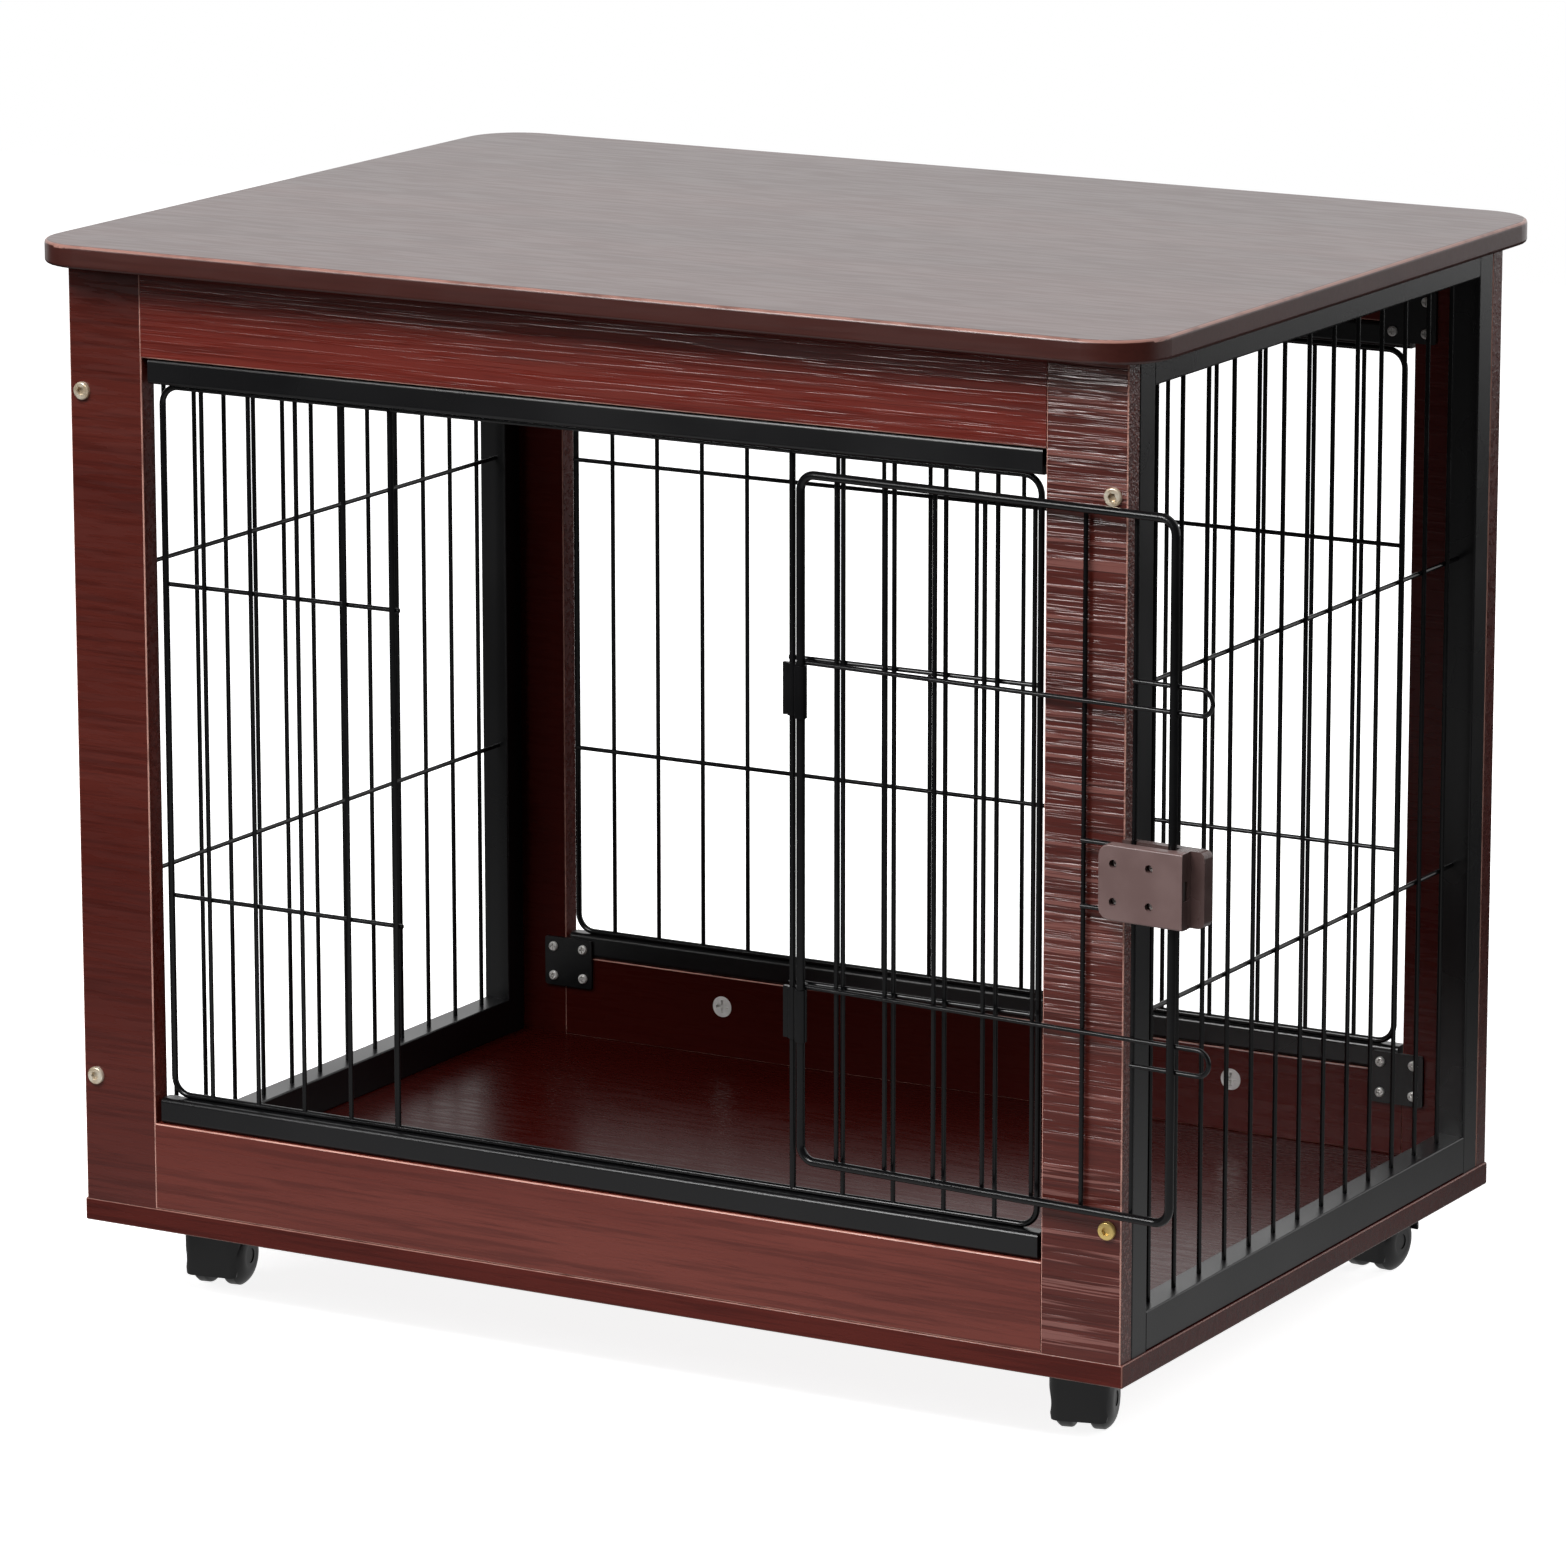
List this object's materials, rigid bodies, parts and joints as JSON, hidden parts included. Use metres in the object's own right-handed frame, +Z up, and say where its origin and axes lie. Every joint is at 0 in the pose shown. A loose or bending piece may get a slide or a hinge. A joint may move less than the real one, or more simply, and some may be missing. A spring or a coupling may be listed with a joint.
{
  "type": "wire dog crate",
  "caption": "Crate that doubles as an end table: dark laminate boards, black wire walls, a hinged wire door with a sliding latch, and swivel casters.",
  "frame": {"origin": "on the floor, under the middle of the whole footprint, which takes in the open door and so lies 22.6 mm to the right of the crate's own middle", "axes": "+X to the crate's right as its door side is faced, along its length; +Y from the door side to the back; +Z up"},
  "size_m": [0.8451, 0.578, 0.703],
  "materials": {
    "wood_laminate": "dark red-brown laminate, fine embossed grain",
    "dowel_wood": "bare pale wood",
    "black_steel": "satin black powder coat",
    "black_wire": "glossy black coating",
    "silver_screws": "bright zinc",
    "bolt_steel": "nickel to pale brass tint",
    "cam_zinc": "die-cast zinc grey",
    "latch_plastic": "taupe, lightly textured",
    "latch_steel": "zinc plated",
    "caster_plastic": "satin black nylon",
    "wheel_plastic": "satin black nylon",
    "caster_steel": "zinc plated"
  },
  "bodies": {
    "crate": {"back_bottom_bar": "black_steel", "back_bottom_rail": "wood_laminate", "back_corner_plates": "black_steel", "back_left_stile": "wood_laminate", "back_right_stile": "wood_laminate", "back_top_bar": "black_steel", "back_top_rail": "wood_laminate", "back_wire_panel": "black_wire", "base_board": "wood_laminate", "cam_dowels": "dowel_wood", "cam_locks": "cam_zinc", "caster_plate_back_left": "caster_steel", "caster_plate_back_right": "caster_steel", "caster_plate_front_left": "caster_steel", "caster_plate_front_right": "caster_steel", "caster_screws": "silver_screws", "corner_plate_screws": "silver_screws", "frame_bolts": "bolt_steel", "front_bottom_bar": "black_steel", "front_bottom_rail": "wood_laminate", "front_corner_plates": "black_steel", "front_left_stile": "wood_laminate", "front_right_stile": "wood_laminate", "front_top_bar": "black_steel", "front_top_rail": "wood_laminate", "front_wire_panel": "black_wire", "left_side_back_post": "black_steel", "left_side_bottom_bar": "black_steel", "left_side_front_post": "black_steel", "left_side_top_bar": "black_steel", "left_side_wire_grid": "black_wire", "right_side_back_post": "black_steel", "right_side_bottom_bar": "black_steel", "right_side_front_post": "black_steel", "right_side_top_bar": "black_steel", "right_side_wire_grid": "black_wire", "table_top": "wood_laminate"},
    "door": {"door_wire_panel": "black_wire", "hinge_clips": "black_steel", "latch_plate": "latch_plastic", "latch_housing": "latch_plastic", "latch_screws": "silver_screws"},
    "latch_slider": {"latch_bolt": "latch_steel", "latch_knob": "latch_plastic"},
    "caster_front_left": {"caster_hood_front_left": "caster_plastic", "caster_axle_front_left": "caster_steel"},
    "caster_wheel_front_left_inner": {"caster_wheel_front_left_inner": "wheel_plastic"},
    "caster_wheel_front_left_outer": {"caster_wheel_front_left_outer": "wheel_plastic"},
    "caster_front_right": {"caster_hood_front_right": "caster_plastic", "caster_axle_front_right": "caster_steel"},
    "caster_wheel_front_right_inner": {"caster_wheel_front_right_inner": "wheel_plastic"},
    "caster_wheel_front_right_outer": {"caster_wheel_front_right_outer": "wheel_plastic"},
    "caster_back_left": {"caster_hood_back_left": "caster_plastic", "caster_axle_back_left": "caster_steel"},
    "caster_wheel_back_left_inner": {"caster_wheel_back_left_inner": "wheel_plastic"},
    "caster_wheel_back_left_outer": {"caster_wheel_back_left_outer": "wheel_plastic"},
    "caster_back_right": {"caster_hood_back_right": "caster_plastic", "caster_axle_back_right": "caster_steel"},
    "caster_wheel_back_right_inner": {"caster_wheel_back_right_inner": "wheel_plastic"},
    "caster_wheel_back_right_outer": {"caster_wheel_back_right_outer": "wheel_plastic"}
  },
  "joints": [
    {"name": "door_hinge", "type": "hinge", "parent": "crate", "child": "door", "pos_m": [0.1224, -0.254, 0.37], "axis": [0, 0, 1], "range_deg": [-174.7, 0]},
    {"name": "latch_slide", "type": "slide", "parent": "door", "child": "latch_slider", "axis": [0.9978, -0.0663, 0], "range_m": [0, 0.0085]},
    {"name": "caster_front_left_swivel", "type": "hinge", "parent": "crate", "child": "caster_front_left", "pos_m": [-0.3443, -0.2039, 0.05], "axis": [0, 0, 1], "continuous": true},
    {"name": "caster_wheel_front_left_inner_spin", "type": "hinge", "parent": "caster_front_left", "child": "caster_wheel_front_left_inner", "pos_m": [-0.34678, -0.18911, 0.02], "axis": [0.9863, 0.165, 0], "continuous": true},
    {"name": "caster_wheel_front_left_outer_spin", "type": "hinge", "parent": "caster_front_left", "child": "caster_wheel_front_left_outer", "pos_m": [-0.34678, -0.18911, 0.02], "axis": [0.9863, 0.165, 0], "continuous": true},
    {"name": "caster_front_right_swivel", "type": "hinge", "parent": "crate", "child": "caster_front_right", "pos_m": [0.2991, -0.2039, 0.05], "axis": [0, 0, 1], "continuous": true},
    {"name": "caster_wheel_front_right_inner_spin", "type": "hinge", "parent": "caster_front_right", "child": "caster_wheel_front_right_inner", "pos_m": [0.29522, -0.18941, 0.02], "axis": [0.9659, 0.2588, 0], "continuous": true},
    {"name": "caster_wheel_front_right_outer_spin", "type": "hinge", "parent": "caster_front_right", "child": "caster_wheel_front_right_outer", "pos_m": [0.29522, -0.18941, 0.02], "axis": [0.9659, 0.2588, 0], "continuous": true},
    {"name": "caster_back_left_swivel", "type": "hinge", "parent": "crate", "child": "caster_back_left", "pos_m": [-0.3443, 0.2039, 0.05], "axis": [0, 0, 1], "continuous": true},
    {"name": "caster_wheel_back_left_inner_spin", "type": "hinge", "parent": "caster_back_left", "child": "caster_wheel_back_left_inner", "pos_m": [-0.34639, 0.21875, 0.02], "axis": [0.9903, 0.1392, 0], "continuous": true},
    {"name": "caster_wheel_back_left_outer_spin", "type": "hinge", "parent": "caster_back_left", "child": "caster_wheel_back_left_outer", "pos_m": [-0.34639, 0.21875, 0.02], "axis": [0.9903, 0.1392, 0], "continuous": true},
    {"name": "caster_back_right_swivel", "type": "hinge", "parent": "crate", "child": "caster_back_right", "pos_m": [0.2991, 0.2039, 0.05], "axis": [0, 0, 1], "continuous": true},
    {"name": "caster_wheel_back_right_inner_spin", "type": "hinge", "parent": "caster_back_right", "child": "caster_wheel_back_right_inner", "pos_m": [0.30025, 0.21886, 0.02], "axis": [0.9971, -0.0767, 0], "continuous": true},
    {"name": "caster_wheel_back_right_outer_spin", "type": "hinge", "parent": "caster_back_right", "child": "caster_wheel_back_right_outer", "pos_m": [0.30025, 0.21886, 0.02], "axis": [0.9971, -0.0767, 0], "continuous": true}
  ]
}
